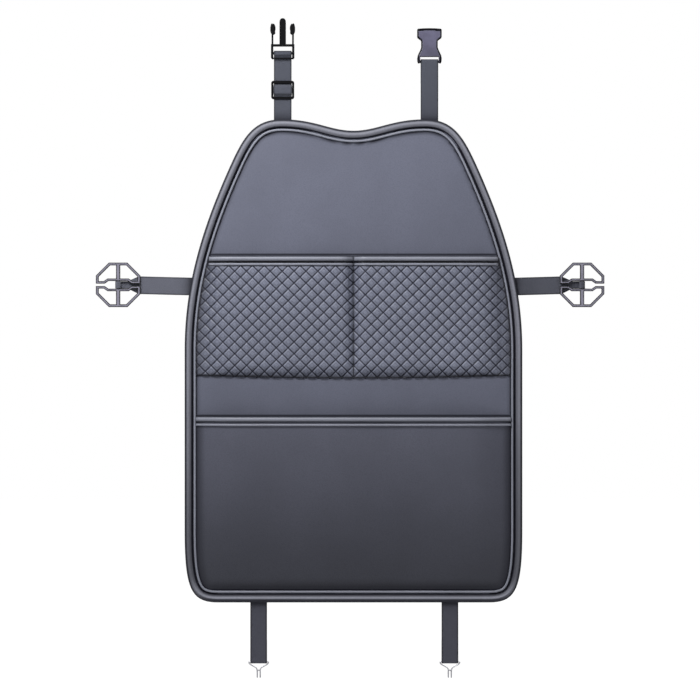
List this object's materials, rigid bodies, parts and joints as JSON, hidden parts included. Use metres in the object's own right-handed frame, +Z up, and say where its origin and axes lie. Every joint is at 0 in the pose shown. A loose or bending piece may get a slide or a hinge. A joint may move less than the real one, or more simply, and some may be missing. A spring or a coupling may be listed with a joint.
{
  "type": "car seat back organizer",
  "caption": "Padded seat back panel with a bound edge, a quilted upper pocket, a plain lower pocket, webbing straps, a side release buckle, slotted anchors and wire hooks.",
  "frame": {"origin": "middle of the flat back that lies on the seat, halfway across the body and 337.4 mm above its bottom edge", "axes": "+X to the right seen from the front, +Y from the front to the back, out of the flat back, +Z up towards the headrest straps"},
  "size_m": [0.7125, 0.0383, 0.9247],
  "materials": {
    "leather": "satin",
    "piping": "satin",
    "quilting": "satin",
    "backing": "matte",
    "webbing": "matte",
    "black_plastic": "gloss",
    "grey_plastic": "gloss",
    "wire": "satin"
  },
  "bodies": {
    "organizer": {"back_panel": "backing", "front_panel": "leather", "edge_binding": "leather", "edge_piping": "piping", "quilted_pocket": "quilting", "quilted_pocket_hem": "leather", "quilted_pocket_cord": "piping", "lower_pocket": "leather", "lower_pocket_hem": "leather", "lower_pocket_cord": "piping", "strap_top_left": "webbing", "strap_top_right": "webbing", "strap_side_left": "webbing", "strap_side_right": "webbing", "strap_bottom_left": "webbing", "strap_bottom_right": "webbing", "strap_slider": "black_plastic"},
    "plug": {"buckle_plug": "black_plastic"},
    "socket": {"buckle_socket": "grey_plastic"},
    "left_anchor": {"anchor_left": "grey_plastic"},
    "right_anchor": {"anchor_right": "grey_plastic"},
    "left_hook": {"hook_left": "wire"},
    "right_hook": {"hook_right": "wire"}
  },
  "joints": [
    {"name": "plug_swing", "type": "hinge", "parent": "organizer", "child": "plug", "pos_m": [-0.0992, -0.004, 0.4313], "axis": [1, 0, 0], "range_deg": [-45, 0]},
    {"name": "socket_swing", "type": "hinge", "parent": "organizer", "child": "socket", "pos_m": [0.1064, -0.004, 0.4194], "axis": [1, 0, 0], "range_deg": [-50, 50]},
    {"name": "anchor_left_swing", "type": "hinge", "parent": "organizer", "child": "left_anchor", "pos_m": [-0.3298, -0.0049, 0.1067], "axis": [0, 0, 1], "range_deg": [-60, 0]},
    {"name": "anchor_right_swing", "type": "hinge", "parent": "organizer", "child": "right_anchor", "pos_m": [0.3203, -0.0049, 0.1067], "axis": [0, 0, 1], "range_deg": [0, 60]},
    {"name": "hook_left_swing", "type": "hinge", "parent": "organizer", "child": "left_hook", "pos_m": [-0.1329, -0.004, -0.4214], "axis": [1, 0, 0], "range_deg": [-60, 60]},
    {"name": "hook_right_swing", "type": "hinge", "parent": "organizer", "child": "right_hook", "pos_m": [0.1351, -0.004, -0.4214], "axis": [1, 0, 0], "range_deg": [-60, 60]}
  ]
}
